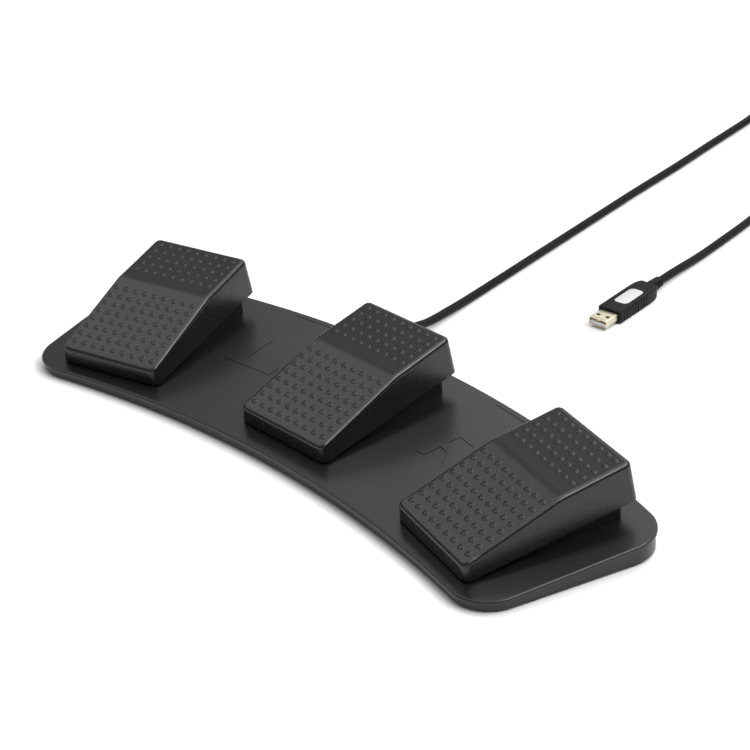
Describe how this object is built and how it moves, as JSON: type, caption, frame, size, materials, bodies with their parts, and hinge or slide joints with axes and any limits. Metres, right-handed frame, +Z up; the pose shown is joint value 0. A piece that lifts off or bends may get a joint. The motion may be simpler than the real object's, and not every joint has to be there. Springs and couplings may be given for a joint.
{
  "type": "usb foot pedal switch",
  "caption": "Fan-shaped foot switch: hinged, sprung pedals on a thin curved wedge base, each closing a switch when pressed, with a USB cable and plug.",
  "frame": {"origin": "on the floor under the middle of the base's box, without the cable", "axes": "+Z up, +X along the row of pedals to the user's right, +Y from the pedals' low front edges to their backs"},
  "size_m": [0.4034, 0.6443, 0.0479],
  "materials": {
    "deck": "fine textured black plastic",
    "tray": "matt black plastic",
    "cover": "satin black plastic",
    "housing": "matt black plastic",
    "foot": "matt rubber",
    "screw": "zinc plated",
    "pin": "ground steel",
    "spring": "drawn steel wire",
    "board": "green laminate",
    "switch": "moulded black plastic",
    "plunger": "moulded red plastic",
    "wire": "insulated wire",
    "cable": "satin black jacket",
    "gland": "moulded black rubber",
    "tie": "black strap",
    "grip": "moulded black plastic",
    "plate": "plain white plate",
    "shell": "plated steel",
    "tongue": "white plastic",
    "contact": "gold plated"
  },
  "bodies": {
    "base": {"deck": "deck", "base_tray": "tray", "rubber_feet": "foot", "tray_screws": "screw", "housing_screws": "screw", "left_housing": "housing", "left_hinge_pin": "pin", "left_return_spring": "spring", "left_switch_board": "board", "left_switch_body": "switch", "left_wire": "wire", "middle_housing": "housing", "middle_hinge_pin": "pin", "middle_return_spring": "spring", "middle_switch_board": "board", "middle_switch_body": "switch", "middle_wire": "wire", "right_housing": "housing", "right_hinge_pin": "pin", "right_return_spring": "spring", "right_switch_board": "board", "right_switch_body": "switch", "right_wire": "wire", "controller_board": "board", "controller_parts": "switch", "usb_leads": "wire", "cable_gland": "gland", "cable_lead": "cable", "cable_coil": "cable", "cable_tie": "tie", "cable_tail": "cable", "plug_boot": "gland", "plug_grip": "grip", "plug_plate": "plate", "usb_shell": "shell", "usb_tongue": "tongue", "usb_contacts": "contact"},
    "left_pedal": {"left_pedal_cover": "cover"},
    "left_plunger": {"left_switch_plunger": "plunger"},
    "middle_pedal": {"middle_pedal_cover": "cover"},
    "middle_plunger": {"middle_switch_plunger": "plunger"},
    "right_pedal": {"right_pedal_cover": "cover"},
    "right_plunger": {"right_switch_plunger": "plunger"}
  },
  "joints": [
    {"name": "left_press", "type": "hinge", "parent": "base", "child": "left_pedal", "pos_m": [-0.1298, -0.04476, 0.01413], "axis": [-0.9659, -0.2583, -0.0158], "range_deg": [0, 5.5], "stiffness_Nm_per_rad": 2.5, "springref_deg": -10.31, "deforming": ["left_return_spring"]},
    {"name": "left_switch_travel", "type": "slide", "parent": "base", "child": "left_plunger", "axis": [0, 0.061, -0.9981], "range_m": [0, 0.003]},
    {"name": "middle_press", "type": "hinge", "parent": "base", "child": "middle_pedal", "pos_m": [0, -0.02771, 0.01517], "axis": [-1, 0, 0], "range_deg": [0, 5.5], "stiffness_Nm_per_rad": 2.5, "springref_deg": -10.31, "deforming": ["middle_return_spring"]},
    {"name": "middle_switch_travel", "type": "slide", "parent": "base", "child": "middle_plunger", "axis": [0, 0.061, -0.9981], "range_m": [0, 0.003]},
    {"name": "right_press", "type": "hinge", "parent": "base", "child": "right_pedal", "pos_m": [0.1298, -0.04476, 0.01413], "axis": [-0.9659, 0.2583, 0.0158], "range_deg": [0, 5.5], "stiffness_Nm_per_rad": 2.5, "springref_deg": -10.31, "deforming": ["right_return_spring"]},
    {"name": "right_switch_travel", "type": "slide", "parent": "base", "child": "right_plunger", "axis": [0, 0.061, -0.9981], "range_m": [0, 0.003]}
  ],
  "couplings": [
    {"joint": "left_switch_travel", "follows": "left_press", "m_per_rad": 0.03},
    {"joint": "middle_switch_travel", "follows": "middle_press", "m_per_rad": 0.03},
    {"joint": "right_switch_travel", "follows": "right_press", "m_per_rad": 0.03}
  ]
}
